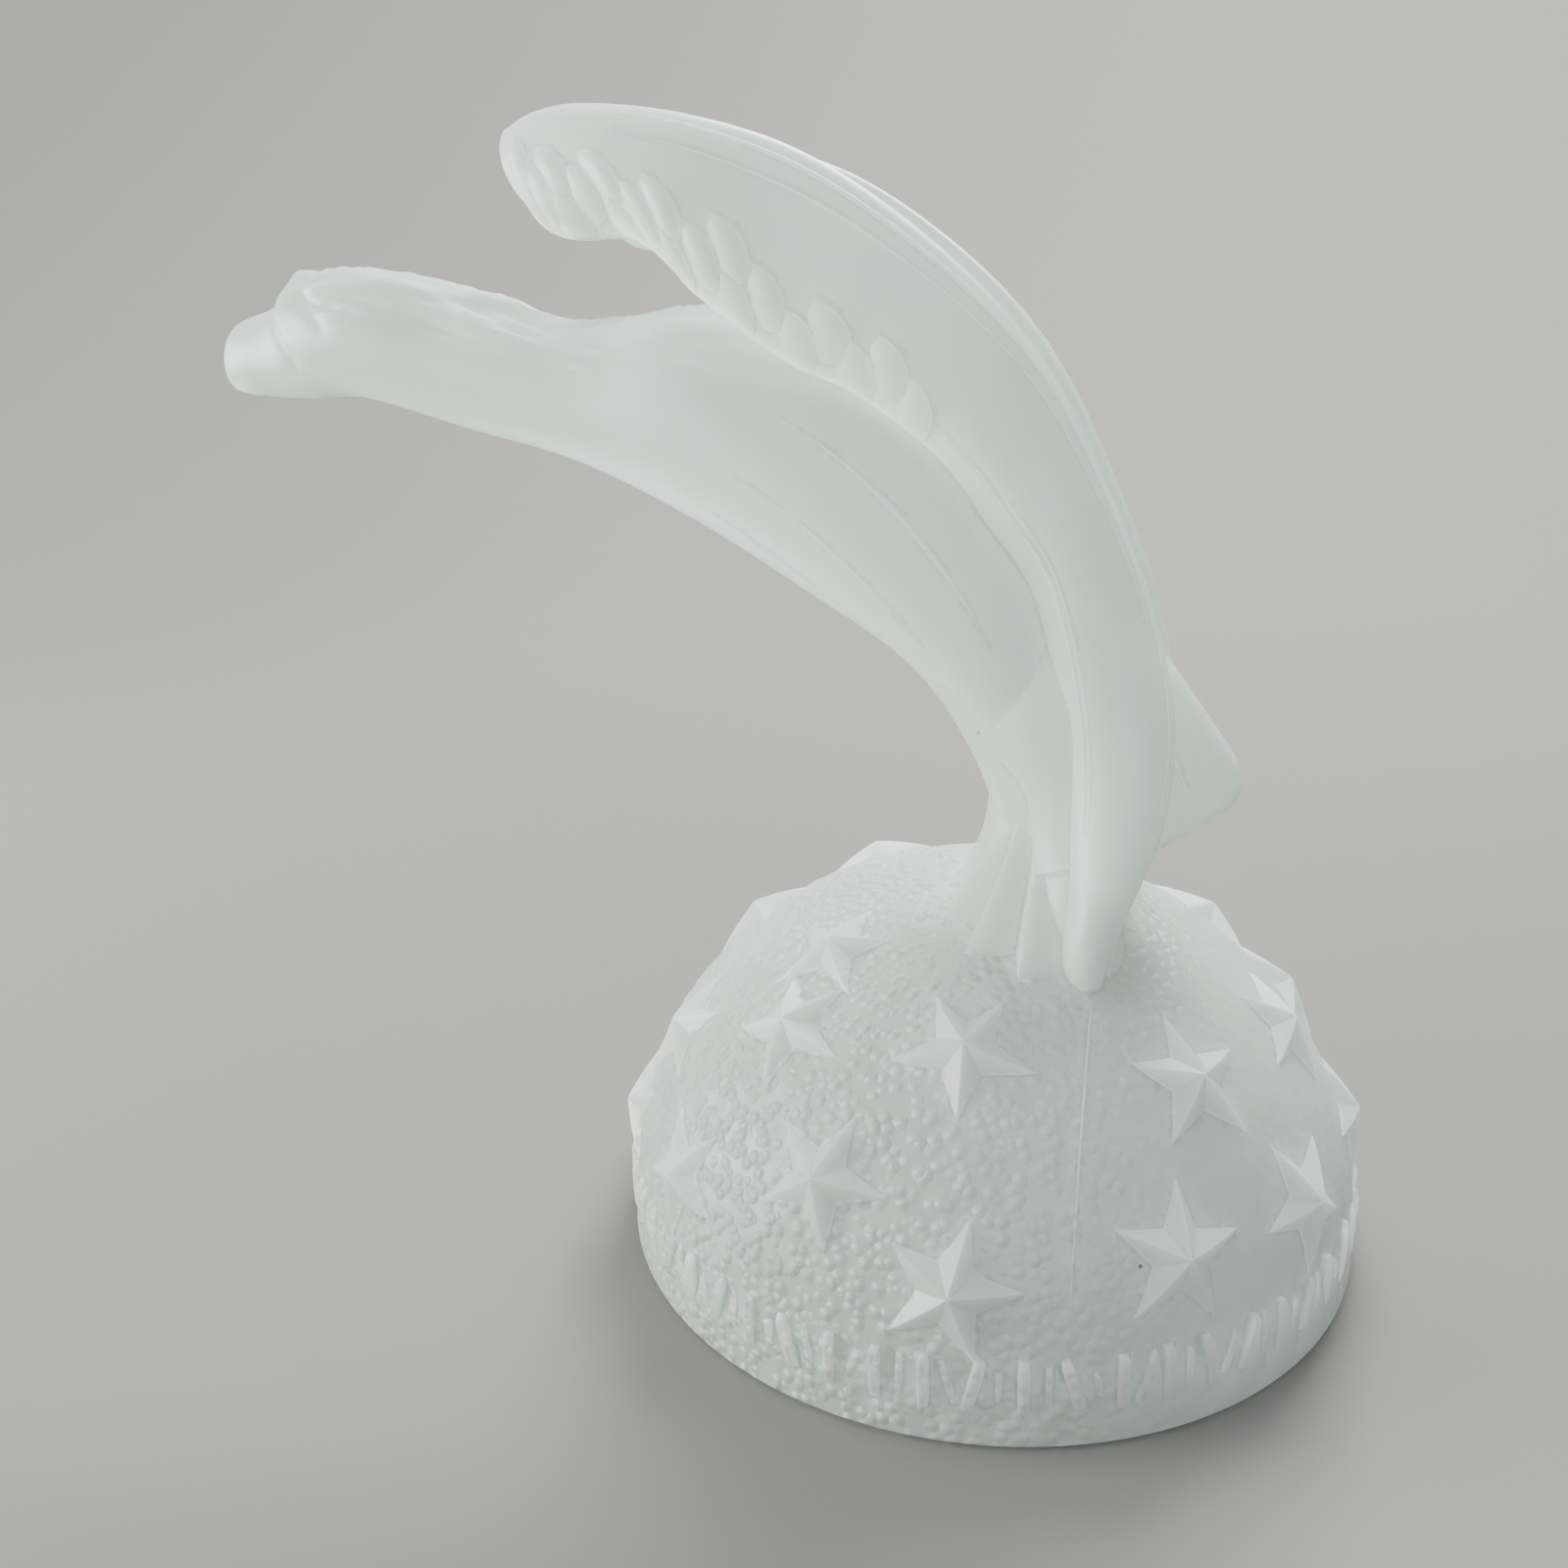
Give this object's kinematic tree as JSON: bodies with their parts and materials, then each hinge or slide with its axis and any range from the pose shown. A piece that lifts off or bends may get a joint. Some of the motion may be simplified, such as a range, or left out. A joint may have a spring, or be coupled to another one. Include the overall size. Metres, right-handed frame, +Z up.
{
  "type": "eagle figurine",
  "caption": "Frosted glass eagle swooping over a starred dome base, neck stretched forward and wings swept up and back.",
  "frame": {"origin": "centre of the round underside", "axes": "+Z up, the eagle faces -X, and its mid-plane is the XZ plane"},
  "size_m": [0.1255, 0.0804, 0.116],
  "materials": {
    "frosted_glass": "satin frosted, pale grey-green"
  },
  "bodies": {
    "root": {"glass_eagle": "frosted_glass"}
  },
  "joints": []
}
